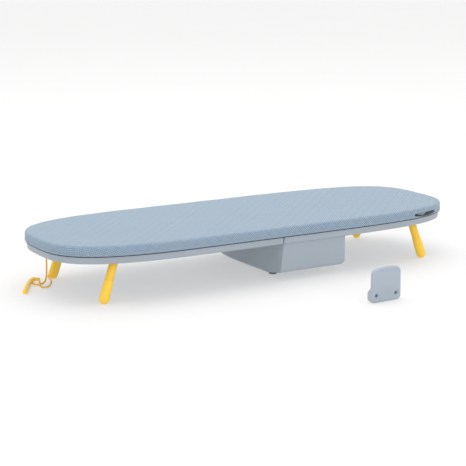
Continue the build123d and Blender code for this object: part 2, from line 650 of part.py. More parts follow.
def make_wall_hook():
    """Hook plate on a thick foot: two screws hold the foot to a wall, the lip stands off it."""
    holes = [(-HOOK_HOLE_X, HOOK_HOLE_Z), (HOOK_HOLE_X, HOOK_HOLE_Z)]
    with BuildPart() as hook:
        add(hook_outline())
        extrude(hook_side(), amount=HOOK_WIDTH, mode=Mode.INTERSECT)
        fillet(hook.faces().sort_by(Axis.Y)[0].edges(), radius=HOOK_FRONT_ROUNDING)
        with BuildSketch(Plane.XZ):
            with Locations(*holes):
                Circle(HOOK_HOLE_RADIUS)
        extrude(amount=-HOOK_DEPTH, mode=Mode.SUBTRACT)
        for x, z in holes:
            with Locations(Location((x, HOOK_SINK / 2, z), (90, 0, 0))):
                Cone(HOOK_HOLE_RADIUS, HOOK_SINK_RADIUS, HOOK_SINK, mode=Mode.SUBTRACT)
    return Location((HOOK_X, HOOK_Y, 0), (0, 0, HOOK_TURN)) * hook.part


def corner_radii(route):
    """Bend radius at each corner of a route, as large as its shorter run allows."""
    radii = []
    for before, at, after in zip(route, route[1:], route[2:]):
        incoming = Vector(at) - Vector(before)
        outgoing = Vector(after) - Vector(at)
        turn = math.radians(incoming.get_angle(outgoing))
        radii.append(ARC_SHARE * min(incoming.length, outgoing.length) / math.tan(turn / 2))
    return radii


def make_tube(route, radius):
    """Round tube along a route of straight runs joined by tangent arcs."""
    radii = corner_radii(route)
    with BuildPart() as tube:
        with BuildLine() as path:
            FilletPolyline(*route, radius=radii)
        with BuildSketch(Plane(origin=route[0], z_dir=Vector(route[1]) - Vector(route[0]))):
            Circle(radius)
        sweep(path=path.wire())
    length = path.wire().length
    ratio = tube.part.volume / (math.pi * radius ** 2 * length)
    print(f"tube length {length:.1f}, radii", [round(r, 1) for r in radii], f"volume ratio {ratio:.4f}")
    return tube.part


def make_pull():
    """Soft moulded pull on the drawstring, a round-ended finger."""
    with BuildPart() as pull:
        add(make_tube(PULL_ROUTE, PULL_RADIUS))
        with Locations(PULL_ROUTE[0], PULL_ROUTE[-1]):
            Sphere(PULL_RADIUS)
    return pull.part


def make_eyelet():
    """Plastic guides in the tray floor where the two ends of the drawstring come out."""
    ends = [CORD_ROUTE[0][:2], CORD_ROUTE[-1][:2]]
    with BuildPart() as eyelets:
        posts(ends, EYELET_RADIUS, (EYELET_BOTTOM_Z, TRAY_BOTTOM_Z))
        fillet(eyelets.edges().group_by(Axis.Z)[0], radius=EYELET_ROUNDING)
    return eyelets.part


for name, side in (("left", LEFT), ("right", RIGHT)):
    save(make_tray(side), f"{name}_tray")
    save(make_deck(side), f"{name}_deck")
    save(make_pad(side), f"{name}_pad")
    save(make_cover(side), f"{name}_cover")
    save(make_hinge_leaves(side), f"{name}_hinge_leaves")
    save(make_rivets(side), f"{name}_hinge_rivets")
    head_z = TRAY_BOTTOM_Z + DECK_HEAD_SINK
    save(screws(deck_screw_points(side), head_z, DECK_TOP_Z - DECK_SCREW_END), f"{name}_deck_screws")
    save(make_bearings(side), f"{name}_axle_bearings")
    tip_z = TRAY_BOTTOM_Z + BEARING_SCREW_LENGTH
    save(screws(bearing_screw_points(side), TRAY_BOTTOM_Z, tip_z), f"{name}_bearing_screws")
    save(make_axle(side), f"{name}_leg_axle")
    save(make_collars(side), f"{name}_axle_collars")
    for row, place in (("front", -1), ("rear", 1)):
        save(make_leg(side, place), f"{name}_{row}_leg")
        save(make_foot_cap(side, place), f"{name}_{row}_foot_cap")

housing_head_z = CAVITY_Z + SCREW_HEAD
save(make_hinge_pins(), "hinge_pins")
save(make_housing(), "centre_housing")
save(screws(HOUSING_SCREWS, housing_head_z, housing_head_z - HOUSING_SCREW_LENGTH), "housing_screws")
save(make_housing_feet(), "housing_feet")
save(make_label(), "cover_label")
save(make_eyelet(), "drawstring_eyelet")
save(make_tube(CORD_ROUTE, CORD_RADIUS), "drawstring")
save(make_pull(), "drawstring_pull")
save(make_wall_hook(), "wall_hook")
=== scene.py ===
import json
import math

import bmesh
import bpy
from mathutils import Matrix, Vector


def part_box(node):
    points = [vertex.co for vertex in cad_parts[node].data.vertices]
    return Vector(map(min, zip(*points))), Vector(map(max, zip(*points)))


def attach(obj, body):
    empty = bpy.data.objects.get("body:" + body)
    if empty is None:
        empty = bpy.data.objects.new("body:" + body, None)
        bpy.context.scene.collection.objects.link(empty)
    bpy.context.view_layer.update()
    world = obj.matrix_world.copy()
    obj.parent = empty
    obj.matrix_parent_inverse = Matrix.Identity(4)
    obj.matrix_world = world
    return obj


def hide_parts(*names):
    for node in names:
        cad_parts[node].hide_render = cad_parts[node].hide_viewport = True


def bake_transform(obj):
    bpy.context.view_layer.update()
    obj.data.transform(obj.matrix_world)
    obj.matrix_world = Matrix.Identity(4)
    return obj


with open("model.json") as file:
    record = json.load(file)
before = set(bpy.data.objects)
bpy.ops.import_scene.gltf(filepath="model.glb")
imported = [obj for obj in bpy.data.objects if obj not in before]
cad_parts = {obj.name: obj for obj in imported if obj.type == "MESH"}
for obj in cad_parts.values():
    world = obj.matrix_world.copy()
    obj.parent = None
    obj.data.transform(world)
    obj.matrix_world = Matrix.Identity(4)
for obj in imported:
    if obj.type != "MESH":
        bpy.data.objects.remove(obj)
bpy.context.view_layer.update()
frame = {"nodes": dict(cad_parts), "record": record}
nodes = frame["nodes"]
MM = 0.001

# Folding table-top ironing board, in metres. X runs along the board, Y across it, Z up.

# Camera
CAMERA_PLACE = (-1.31155, -2.18429, 0.60622)
CAMERA_YAW = math.radians(30.63)        # from +Y towards +X
CAMERA_PITCH = math.radians(12.01)      # below the horizon
CAMERA_ROLL = -0.003
CAMERA_LENS = 111.18                    # mm on a 36 mm sensor

# The cover's outline: each end is the same superellipse as the CAD solids have
LEFT, RIGHT = -1, 1
cover_low, cover_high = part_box("left_cover")[0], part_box("right_cover")[1]
HALF_LENGTH = {LEFT: -cover_low.x, RIGHT: cover_high.x}
HALF_WIDTH = cover_high.y
END_LENGTH = {LEFT: 284 * MM, RIGHT: 334 * MM}
END_POWER = {LEFT: 3.15, RIGHT: 3.52}
STRAIGHT = {side: HALF_LENGTH[side] - END_LENGTH[side] for side in (LEFT, RIGHT)}
HEM_Z = cover_low.z
COVER_TOP = cover_high.z + 2.3 * MM
COVER_EDGE = 4.5 * MM                   # radius of the cover's top edge
CLOTH = 0.9 * MM
DECK_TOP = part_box("right_deck")[1].z
PAD_TOP = COVER_TOP - CLOTH - 0.2 * MM

# Drawstring, the same control points as the CAD route
CORD_DIAMETER = 3.0 * MM
CORD_ROUTE_MM = [
    (-346.0, 85.0, 69.0), (-346.0, 85.0, 47.0), (-346.3, 84.6, 26.0), (-347.6, 83.2, 10.5),
    (-351.4, 79.8, 3.6), (-357.4, 74.2, 1.8), (-363.9, 68.6, 1.8), (-371.0, 66.2, 1.8),
    (-375.4, 70.6, 1.8), (-375.2, 78.4, 2.2), (-373.2, 86.4, 3.6), (-370.0, 93.6, 4.6),
    (-365.8, 96.6, 4.6), (-361.2, 94.6, 4.7), (-359.3, 89.6, 4.9), (-361.0, 82.4, 5.4),
    (-364.6, 74.6, 5.9), (-368.4, 66.4, 5.9), (-371.9, 58.0, 4.6), (-373.4, 50.4, 2.2),
    (-370.8, 44.0, 1.8), (-364.2, 42.3, 1.8), (-357.8, 48.6, 1.8), (-351.2, 58.6, 1.8),
    (-344.8, 70.0, 1.8), (-339.0, 82.8, 1.8), (-336.6, 96.0, 1.8), (-334.6, 107.8, 2.2),
    (-329.4, 115.6, 5.0), (-322.6, 118.4, 13.0), (-319.0, 118.4, 27.0), (-318.2, 118.0, 47.0),
    (-318.2, 118.0, 69.0),
]

# The pull, with its radius at each point: a thick tail that tapers towards the knot
PULL_ROUTE_MM = [
    (-412.5, 24.5, 4.4), (-400.0, 47.0, 4.4), (-388.9, 66.7, 4.4), (-380.3, 80.8, 4.5),
    (-374.0, 90.0, 4.6), (-370.0, 94.6, 4.6), (-365.8, 96.6, 4.6), (-361.2, 94.6, 4.7),
    (-359.3, 89.6, 4.9),
]
PULL_RADII_MM = (4.4, 4.4, 4.4, 4.4, 4.3, 4.1, 3.7, 3.3, 2.9)


# ---------------------------------------------------------------- materials

class Look:
    """A material's node tree, with short ways to add nodes and join them."""

    def __init__(self, name, **settings):
        self.material = bpy.data.materials.new(name)
        self.material.use_nodes = True
        self.tree = self.material.node_tree
        self.shader = self.tree.nodes["Principled BSDF"]
        for socket, value in settings.items():
            self.shader.inputs[socket.replace("_", " ")].default_value = value

    def add(self, kind, settings=None, **inputs):
        node = self.tree.nodes.new(kind)
        for key, value in (settings or {}).items():
            setattr(node, key, value)
        for key, value in inputs.items():
            self.put(node.inputs[key.replace("_", " ")], value)
        return node

    def put(self, socket, value):
        """Links another node's output to a socket, or sets the socket's own value."""
        if isinstance(value, bpy.types.NodeSocket):
            self.tree.links.new(value, socket)
        else:
            socket.default_value = value

    def math(self, operation, *values):
        node = self.tree.nodes.new("ShaderNodeMath")
        node.operation = operation
        for socket, value in zip(node.inputs, values):
            self.put(socket, value)
        return node.outputs[0]

    def mix(self, share, low, high):
        node = self.tree.nodes.new("ShaderNodeMix")
        node.data_type = "RGBA"
        self.put(node.inputs[0], share)
        self.put(node.inputs[6], low)
        self.put(node.inputs[7], high)
        return node.outputs[2]

    def place(self):
        return self.add("ShaderNodeTexCoord").outputs["Object"]

    def noise(self, scale, detail=3.0, vector=None):
        node = self.add("ShaderNodeTexNoise", Scale=scale, Detail=detail)
        self.put(node.inputs["Vector"], vector or self.place())
        return node.outputs["Fac"]

    def ramp(self, value, low, high, to_low=0.0, to_high=1.0):
        """A smooth step from to_low at low to to_high at high."""
        node = self.add("ShaderNodeMapRange", {"interpolation_type": "SMOOTHSTEP"})
        for socket, setting in zip(node.inputs, (value, low, high, to_low, to_high)):
            self.put(socket, setting)
        return node.outputs[0]

    def colour(self, value):
        self.put(self.shader.inputs["Base Color"], value)

    def rough(self, value):
        self.put(self.shader.inputs["Roughness"], value)

    def bump(self, height, distance, strength=1.0, onto=None):
        """Relief for the shader, on top of another bump where one is given."""
        node = self.add("ShaderNodeBump", Height=height, Distance=distance, Strength=strength)
        if onto is not None:
            self.put(node.inputs["Normal"], onto)
        self.put(self.shader.inputs["Normal"], node.outputs[0])
        return node.outputs[0]


def srgb(red, green, blue):
    """A linear colour from display values of 0 to 255."""
    values = [value / 255 for value in (red, green, blue)]
    linear = [v / 12.92 if v < 0.04045 else ((v + 0.055) / 1.055) ** 2.4 for v in values]
    return (*linear, 1.0)


def moulded_plastic(name, colour, grain=0.04 * MM, roughness=0.45):
    """Spark-eroded mould finish: fine grain, slow changes of gloss, paler rubbed patches."""
    look = Look(name, IOR=1.48)
    slow = look.noise(9.0, 2.0)
    rubbed = look.ramp(look.noise(60.0, 5.0), 0.60, 0.78, 0.0, 0.35)
    deep = tuple(0.93 * c for c in colour[:3]) + (1.0,)
    pale = tuple(min(1.0, 1.12 * c + 0.01) for c in colour[:3]) + (1.0,)
    body = look.mix(look.ramp(slow, 0.3, 0.7), deep, colour)
    look.colour(look.mix(rubbed, body, pale))
    look.rough(look.ramp(look.noise(140.0, 2.0), 0.3, 0.7, roughness - 0.05, roughness + 0.08))
    look.bump(look.noise(2600.0, 2.0), grain, 0.35)
    return look.material


def painted_metal(name, colour):
    """Glossy powder coat: orange-peel ripple, tiny pits, and a slightly deeper tone in random patches."""
    look = Look(name, Roughness=0.34, Coat_Weight=0.25, Coat_Roughness=0.2)
    deep = (0.88 * colour[0], 0.80 * colour[1], 0.8 * colour[2], 1.0)
    look.colour(look.mix(look.ramp(look.noise(45.0, 4.0), 0.35, 0.8), colour, deep))
    look.rough(look.ramp(look.noise(220.0, 3.0), 0.3, 0.7, 0.28, 0.42))
    peel = look.bump(look.noise(420.0, 1.0), 0.12 * MM, 0.25)
    pits = look.ramp(look.noise(1500.0, 2.0), 0.2, 0.32, 0.0, 1.0)
    look.bump(pits, 0.05 * MM, 0.3, peel)
    return look.material


def soft_rubber(name, colour, roughness=0.55):
    """Moulded rubber: matte, a fine sandy grain and faint dusty patches."""
    look = Look(name, Sheen_Weight=0.15, Sheen_Roughness=0.6)
    dusty = tuple(min(1.0, 1.06 * c + 0.012) for c in colour[:3]) + (1.0,)
    look.colour(look.mix(look.ramp(look.noise(70.0, 4.0), 0.45, 0.7, 0.0, 0.7), colour, dusty))
    look.rough(look.ramp(look.noise(300.0, 2.0), 0.3, 0.7, roughness - 0.06, roughness + 0.1))
    look.bump(look.noise(1900.0, 3.0), 0.06 * MM, 0.35)
    return look.material


def galvanised_steel(name):
    """Zinc spangle: crystal cells that differ in tone and gloss, with brushed scratches."""
    look = Look(name, Metallic=1.0)
    cells = look.add("ShaderNodeTexVoronoi", Scale=130.0, Vector=look.place())
    tone = look.add("ShaderNodeSeparateColor", Color=cells.outputs["Color"]).outputs[0]
    look.colour(look.mix(tone, srgb(150, 156, 162), srgb(192, 197, 201)))
    look.rough(look.ramp(tone, 0.0, 1.0, 0.32, 0.5))
    look.bump(look.noise(900.0, 3.0), 0.03 * MM, 0.3)
    return look.material


def turned_steel(name):
    """Plated screw steel with fine turning marks round each head."""
    look = Look(name, Metallic=1.0)
    look.colour(look.mix(look.noise(500.0, 3.0), srgb(140, 142, 145), srgb(190, 190, 188)))
    look.rough(look.ramp(look.noise(800.0, 2.0), 0.3, 0.7, 0.25, 0.42))
    look.bump(look.noise(2500.0, 2.0), 0.02 * MM, 0.4)
    return look.material


def needled_felt(name):
    """Pressed felt: fibres that run every way, with darker and paler flecks."""
    look = Look(name, Roughness=0.95, Sheen_Weight=0.3, Sheen_Roughness=0.7)
    stretched = look.add("ShaderNodeMapping", Vector=look.place(), Scale=(1.0, 1.0, 3.0)).outputs[0]
    fibres = look.noise(1300.0, 6.0, stretched)
    flecks = look.noise(260.0, 3.0)
    base = look.mix(look.ramp(fibres, 0.35, 0.65), srgb(150, 150, 146), srgb(205, 204, 198))
    look.colour(look.mix(look.ramp(flecks, 0.62, 0.72, 0.0, 0.5), base, srgb(98, 104, 112)))
    look.bump(fibres, 0.35 * MM, 0.7)
    return look.material


def dots(look, cloth, spacing, radius, turn):
    """How much of a printed dot covers each point: dots on a square grid turned by an angle."""
    grid = look.add("ShaderNodeMapping", Vector=cloth, Rotation=(0.0, 0.0, turn)).outputs[0]
    cells = look.add(
        "ShaderNodeTexVoronoi", {"voronoi_dimensions": "2D"},
        Vector=grid, Scale=1 / spacing, Randomness=0.0,
    )
    return look.ramp(cells.outputs["Distance"], 0.8 * radius / spacing, 1.2 * radius / spacing, 1.0, 0.0)


def lattice(look, cloth, pitch, width):
    """1 near the lines of a diamond lattice that is pitch wide, 0 away from them."""
    parts = look.add("ShaderNodeSeparateXYZ", Vector=cloth)
    lines = []
    for way in (1.0, -1.0):
        across = look.math("MULTIPLY_ADD", parts.outputs["Y"], way, parts.outputs["X"])
        swing = look.math("PINGPONG", across, pitch / 2)
        lines.append(look.ramp(swing, 0.0, width, 1.0, 0.0))
    return look.math("MAXIMUM", *lines)


def weave(look, cloth, pitch):
    """Height of a plain weave: warp and weft threads that pass over each other in turn."""
    parts = look.add("ShaderNodeSeparateXYZ", Vector=cloth)
    waves = []
    for axis in ("X", "Y"):
        turns = look.math("MULTIPLY", parts.outputs[axis], math.pi / pitch)
        waves.append(look.math("SINE", turns))
    over = look.math("MULTIPLY", waves[0], waves[1])
    warp = look.math("ABSOLUTE", waves[0])
    weft = look.math("ABSOLUTE", waves[1])
    share = look.math("MULTIPLY_ADD", over, 0.5, 0.5)
    up = look.math("MULTIPLY", warp, share)
    down = look.math("MULTIPLY", weft, look.math("SUBTRACT", 1.0, share))
    return look.math("ADD", up, down)


FABRIC = srgb(126, 146, 164)
FABRIC_DEEP = srgb(116, 137, 156)
FABRIC_DOT = srgb(178, 195, 210)
DOT_SPACING = 3.1 * MM
DOT_RADIUS = 0.95 * MM
MOTIF_PITCH = 10.8 * MM
THREAD_PITCH = 0.55 * MM


def printed_cotton(name):
    """Cotton cover: plain weave, a light dot print in diamonds, uneven yarn and a soft sheen."""
    look = Look(name, Roughness=0.88, Sheen_Weight=0.2, Sheen_Roughness=0.5)
    cloth = look.add("ShaderNodeUVMap", {"uv_map": "cloth"}).outputs[0]
    print_dots = dots(look, cloth, DOT_SPACING, DOT_RADIUS, math.radians(45))
    bare = lattice(look, cloth, MOTIF_PITCH, 0.7 * MM)
    inked = look.math("MULTIPLY", print_dots, look.math("SUBTRACT", 1.0, bare))
    yarn = look.add("ShaderNodeMapping", Vector=cloth, Scale=(40.0, 900.0, 1.0)).outputs[0]
    slub = look.noise(1.0, 3.0, yarn)
    patchy = look.noise(14.0, 3.0)
    tone = look.math("MULTIPLY_ADD", slub, 0.5, look.math("MULTIPLY", patchy, 0.5))
    base = look.mix(look.ramp(tone, 0.35, 0.65), FABRIC_DEEP, FABRIC)
    worn = look.ramp(patchy, 0.45, 0.75, 0.85, 0.65)
    look.colour(look.mix(look.math("MULTIPLY", inked, worn), base, FABRIC_DOT))
    look.rough(look.ramp(tone, 0.3, 0.7, 0.82, 0.94))
    threads = look.bump(weave(look, cloth, THREAD_PITCH), 0.10 * MM, 0.5)
    look.bump(look.noise(120.0, 3.0), 0.25 * MM, 0.25, threads)
    return look.material


def hem_shadow_strip_look(name):
    """Painted shade: a dark strip with slanted thread loops that stands in for the shadow line under the
    hem.
    """
    look = Look(name, Roughness=0.9, Sheen_Weight=0.1)
    cloth = look.add("ShaderNodeUVMap", {"uv_map": "cloth"}).outputs[0]
    parts = look.add("ShaderNodeSeparateXYZ", Vector=cloth)
    slant = look.math("MULTIPLY_ADD", parts.outputs["Y"], 0.6, parts.outputs["X"])
    loops = look.math("SINE", look.math("MULTIPLY", slant, math.tau / (1.6 * MM)))
    raised = look.ramp(loops, -0.6, 0.6)
    # painted shade: near-black colours that stand in for the shadow line under the hem
    look.colour(look.mix(raised, srgb(24, 30, 38), srgb(52, 62, 74)))
    look.bump(raised, 0.15 * MM, 0.7)
    return look.material


def woven_label(name):
    """Satin-woven black label with a plain grey wedge that narrows to a slanted band."""
    look = Look(name, Roughness=0.6, Sheen_Weight=0.2, Sheen_Roughness=0.4)
    cloth = look.add("ShaderNodeUVMap", {"uv_map": "cloth"}).outputs[0]
    parts = look.add("ShaderNodeSeparateXYZ", Vector=cloth)
    falling = look.math("MULTIPLY_ADD", parts.outputs["X"], 0.30, parts.outputs["Y"])
    above = look.ramp(falling, 7.4 * MM, 9.4 * MM)
    slant = look.math("MULTIPLY_ADD", parts.outputs["Y"], -1.5, parts.outputs["X"])
    before = look.ramp(slant, 19.0 * MM, 21.5 * MM, 1.0, 0.0)
    rows = look.math("SINE", look.math("MULTIPLY", parts.outputs["Y"], math.tau / (0.45 * MM)))
    threads = look.ramp(rows, -0.8, 0.8)
    black = look.mix(threads, srgb(14, 16, 20), srgb(34, 37, 43))
    look.colour(look.mix(look.math("MULTIPLY", above, before), black, srgb(112, 120, 129)))
    look.bump(threads, 0.08 * MM, 0.6)
    return look.material


def braided_cord(name, colour):
    """Braided polyester: two families of strands that cross round the cord."""
    look = Look(name, Roughness=0.62, Sheen_Weight=0.25, Sheen_Roughness=0.4)
    along = look.add("ShaderNodeUVMap", {"uv_map": "UVMap"}).outputs[0]
    parts = look.add("ShaderNodeSeparateXYZ", Vector=along)
    rows = []
    for way in (1.0, -1.0):
        run = look.math("MULTIPLY", parts.outputs["X"], 110.0)
        round_it = look.math("MULTIPLY_ADD", parts.outputs["Y"], 4.0 * way, run)
        rows.append(look.math("ABSOLUTE", look.math("SINE", look.math("MULTIPLY", round_it, math.pi))))
    plait = look.math("MULTIPLY", *rows)
    deep = (0.86 * colour[0], 0.76 * colour[1], 0.6 * colour[2], 1.0)
    look.colour(look.mix(look.ramp(plait, 0.05, 0.6), deep, colour))
    look.bump(plait, 0.25 * MM, 0.8)
    return look.material


RAIL_BLUE = srgb(160, 170, 180)
HOOK_BLUE = srgb(166, 177, 188)
YELLOW = srgb(252, 203, 50)
YELLOW_RUBBER = srgb(251, 204, 54)
YELLOW_CORD = srgb(252, 205, 70)

LOOKS = {
    "blue_grey_plastic": moulded_plastic("moulded_blue_grey", RAIL_BLUE),
    "hook_plastic": moulded_plastic("moulded_hook_grey", HOOK_BLUE, 0.05 * MM, 0.42),
    "galvanised_steel": galvanised_steel("galvanised_steel_spangle"),
    "screw_steel": turned_steel("screw_steel_plated"),
    "felt": needled_felt("needled_felt"),
    "cover_fabric": printed_cotton("printed_cotton"),
    "label_weave": woven_label("woven_label"),
    "yellow_paint": painted_metal("yellow_powder_coat", YELLOW),
    "yellow_rubber": soft_rubber("yellow_moulded_rubber", YELLOW_RUBBER, 0.42),
    "yellow_plastic": moulded_plastic("yellow_moulded_plastic", YELLOW, 0.03 * MM, 0.4),
    "yellow_cord": braided_cord("yellow_braid", YELLOW_CORD),
    "grey_rubber": soft_rubber("grey_moulded_rubber", srgb(96, 98, 100)),
}


def dress_cad_nodes():
    """Each CAD node keeps its shape and takes the finish of its material slot in the record."""
    for subpart in frame["record"]["subparts"]:
        node = nodes[subpart["node"]]
        node.data.materials.clear()
        node.data.materials.append(LOOKS[subpart["material_slot"]])


# ---------------------------------------------------------------- meshes

END_STEPS = 110
FINE_STEPS = 4000                       # of the arc length that the end's steps are measured on
STRAIGHT_STEPS = 30
STRAIGHT_POWER = 1.7                    # closer columns near the fold, where the cover bends


def superellipse(side, angle, inset):
    """A point of one end, inset from the fabric's edge."""
    power = 2 / END_POWER[side]
    along = abs(math.cos(angle)) ** power
    across = math.copysign(abs(math.sin(angle)) ** power, angle)
    x = side * (STRAIGHT[side] + (END_LENGTH[side] - inset) * along)
    return Vector((x, (HALF_WIDTH - inset) * across))


def end_angles(side):
    """Angles from -90 to 90 degrees that step evenly along a superelliptic end."""
    angles = [math.pi * (i / FINE_STEPS - 0.5) for i in range(FINE_STEPS + 1)]
    points = [superellipse(side, angle, 0.0) for angle in angles]
    reached = [0.0]
    for before, after in zip(points, points[1:]):
        reached.append(reached[-1] + (after - before).length)
    chosen, at = [], 0
    for step in range(END_STEPS + 1):
        target = reached[-1] * step / END_STEPS
        while at < FINE_STEPS and reached[at] < target:
            at += 1
        chosen.append(angles[at])
    return chosen


ANGLES = {side: end_angles(side) for side in (LEFT, RIGHT)}
SHARES = [(i / STRAIGHT_STEPS) ** STRAIGHT_POWER for i in range(1, STRAIGHT_STEPS)]
COLUMNS = {side: [side * STRAIGHT[side] * share for share in SHARES] for side in (LEFT, RIGHT)}


def end_points(side, inset):
    """One end from its front to its rear."""
    return [superellipse(side, angle, inset) for angle in ANGLES[side]]


def ring(inset):
    """The whole outline at an inset, anticlockwise, with columns that line up across the board."""
    half = HALF_WIDTH - inset
    run = list(reversed(COLUMNS[RIGHT])) + [0.0] + COLUMNS[LEFT]
    rear = [Vector((x, half)) for x in run]
    front = [Vector((x, -half)) for x in reversed(run)]
    return end_points(RIGHT, inset) + rear + list(reversed(end_points(LEFT, inset))) + front


def outward(points, closed=True):
    """Unit normals of an anticlockwise outline, pointing out."""
    last = len(points) - 1
    normals = []
    for i in range(len(points)):
        if closed:
            run = points[(i + 1) % len(points)] - points[i - 1]
        else:
            run = points[min(i + 1, last)] - points[max(i - 1, 0)]
        normals.append(Vector((run.y, -run.x)).normalized())
    return normals


TOP_RINGS = (0.97, 0.9, 0.8, 0.7, 0.6, 0.5, 0.41, 0.33, 0.26, 0.2, 0.15, 0.115, 0.085)
EDGE_DEGREES = range(0, 96, 12)

# The cover's skirt as (inset, height over the hem): the stitched groove, then the rolled hem
SKIRT_MM = (
    (0.00, 8.2), (-0.05, 6.6), (0.05, 5.4), (0.34, 4.75), (0.34, 4.45), (0.0, 4.0), (-0.22, 3.0),
    (-0.30, 1.8), (-0.22, 0.8), (0.10, 0.15), (0.60, -0.05), (1.10, 0.15), (1.30, 0.6),
)
# The dark strip under the hem, painted shade for the shadow line there, a closed loop in the same terms
HEM_SHADOW_STRIP_MM = (
    (0.9, 0.5), (0.55, 0.1), (0.5, -0.6), (0.6, -1.2), (1.0, -1.5), (1.5, -1.3), (1.75, -0.7), (1.75, 0.5),
)
HEM_SHADOW_STRIP_STEP = 0.6 * MM                # cloth between two points of that loop


def over_hem(profile_mm):
    """Insets and heights over the hem, from millimetres to the shared frame."""
    return [(inset * MM, HEM_Z + height * MM) for inset, height in profile_mm]


def cover_rings():
    """Insets and heights from the board's middle line over the top's edge down to the hem."""
    flat = [(HALF_WIDTH * share, COVER_TOP) for share in TOP_RINGS]
    edge = []
    for degrees in EDGE_DEGREES:
        angle = math.radians(degrees)
        inset = COVER_EDGE * (1 - math.sin(angle))
        edge.append((inset, COVER_TOP - COVER_EDGE * (1 - math.cos(angle))))
    return flat + edge + over_hem(SKIRT_MM)


def band(bm, low, high):
    """Quads between two closed rows of the same count."""
    count = len(low)
    for i in range(count):
        j = (i + 1) % count
        bm.faces.new((low[i], high[i], high[j], low[j]))


def skin(rings):
    """A mesh through closed rings of equal count, with a cloth UV in metres, laid out from the top."""
    edge = ring(0.0)
    normals = outward(edge)
    bm = bmesh.new()
    cloth = bm.loops.layers.uv.new("cloth")
    rows, places = [], {}
    before, run = rings[0], -rings[0][0]
    for inset, height in rings:
        run += math.hypot(inset - before[0], height - before[1])
        before = (inset, height)
        row = []
        for point, start, normal in zip(ring(inset), edge, normals):
            vert = bm.verts.new((point.x, point.y, height))
            places[vert] = start + normal * run if run > 0 else point
            row.append(vert)
        rows.append(row)
    for inner, outer in zip(rows, rows[1:]):
        band(bm, inner, outer)
    return bm, rows, places, cloth


def close_middle(bm, row):
    """Joins the innermost ring across the board's middle line, from one end to the other."""
    count = len(row)
    half = count // 2
    quarter = END_STEPS // 2
    low = [row[(quarter - i) % count] for i in range(half + 1)]
    high = [row[(quarter + i) % count] for i in range(half + 1)]
    for i in range(half):
        corners = list(dict.fromkeys((low[i], high[i], high[i + 1], low[i + 1])))
        if len(corners) > 2:
            bm.faces.new(corners)


def finish_mesh(bm, name, places, cloth, finish):
    """A smooth piece from a mesh, with its places as cloth UV and its finish."""
    bmesh.ops.recalc_face_normals(bm, faces=bm.faces)
    for face in bm.faces:
        face.smooth = True
        for loop in face.loops:
            loop[cloth].uv = places[loop.vert]
    mesh = bpy.data.meshes.new(name)
    bm.to_mesh(mesh)
    bm.free()
    piece = bpy.data.objects.new(name, mesh)
    bpy.context.scene.collection.objects.link(piece)
    mesh.materials.append(finish)
    return piece


def hump(value):
    """A smooth random-looking wave from -1 to 1, the same each run."""
    return (math.sin(value) + math.sin(2.31 * value + 1.3) + math.sin(3.77 * value + 4.1)) / 3


PUCKER = 0.22 * MM                      # round the ends, fading out towards the top
PUCKER_RATE = 170                       # phase per radian round the board
SWAY = 0.16 * MM                        # along the skirt
SWAY_RATE = 90                          # phase per half length
SWELL = 0.18 * MM                       # of the top


def ease_cloth(vert):
    """Small natural unevenness: a barely uneven top and shallow puckers above the hem."""
    x, y, z = vert.co
    end = RIGHT if x > 0 else LEFT
    length = HALF_LENGTH[end]
    angle = math.atan2(y / HALF_WIDTH, x / length)
    low = min(1.0, max(0.0, (COVER_TOP - z) / (COVER_TOP - HEM_Z)))
    bend = min(1.0, max(0.0, (abs(x) - STRAIGHT[end]) / END_LENGTH[end]))
    pucker = PUCKER * low * bend * hump(PUCKER_RATE * angle)
    sway = SWAY * low * hump(SWAY_RATE * x / length + (7 if y > 0 else 0))
    out = Vector((x / length ** 2, y / HALF_WIDTH ** 2, 0)).normalized()
    vert.co += out * (pucker + sway)
    vert.co.z += SWELL * (1 - low) * (hump(31 * x + 11) + hump(43 * y + 17 * x))


def make_cover():
    """One fabric cover over both halves, with a rolled and stitched hem."""
    bm, rows, places, cloth = skin(cover_rings())
    close_middle(bm, rows[0])
    for vert in bm.verts:
        ease_cloth(vert)
    cover = finish_mesh(bm, "ironing_cover", places, cloth, LOOKS["cover_fabric"])
    thick = cover.modifiers.new("cloth", "SOLIDIFY")
    thick.thickness = CLOTH
    thick.offset = -1
    return cover


def make_hem_shadow_strip():
    """Dark strip under the hem, painted shade that shows as the thin shadow line between hem and rail."""
    bm, rows, places, cloth = skin(over_hem(HEM_SHADOW_STRIP_MM))
    lengths = [0.0]
    for before, after in zip(rows[0], rows[0][1:]):
        lengths.append(lengths[-1] + (after.co - before.co).length)
    for number, row in enumerate(rows):
        for vert, length in zip(row, lengths):
            places[vert] = Vector((length, number * HEM_SHADOW_STRIP_STEP))
    band(bm, rows[-1], rows[0])
    return finish_mesh(bm, "hem_painted_shadow_strip", places, cloth, hem_shadow_strip_look("hem_painted_shadow"))


def bend_over_fold(piece):
    """Bakes the piece's placement into its mesh; the fabric does not turn with the fold."""
    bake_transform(piece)


STITCH_PITCH = 3.4 * MM
STITCH_LENGTH = 2.6 * MM
STITCH_THREAD = 0.28 * MM               # radius
STITCH_Z = HEM_Z + 4.6 * MM
STITCH_GROOVE = -0.25 * MM              # inset of the line that the stitches follow
STITCH_SINK = 0.30 * MM                 # how far a stitch's ends lie inside that line
STITCH_RISE = 0.16 * MM                 # how far its middle rises from there
STITCH_SHARES = (-0.5, -0.3, 0.0, 0.3, 0.5)
STITCH_SIDES = 6
STITCH_TIP = 0.55                       # share of the radius at a stitch's ends


def stitch_ring():
    """Points along the hem groove with their outward normals, evenly spaced."""
    outline = ring(STITCH_GROOVE)
    normals = outward(outline)
    closed = outline + outline[:1]
    spaced, wait = [], 0.0
    for i, (start, stop) in enumerate(zip(closed, closed[1:])):
        length = (stop - start).length
        while wait < length:
            spaced.append((start.lerp(stop, wait / length), normals[i]))
            wait += STITCH_PITCH
        wait -= length
    return spaced


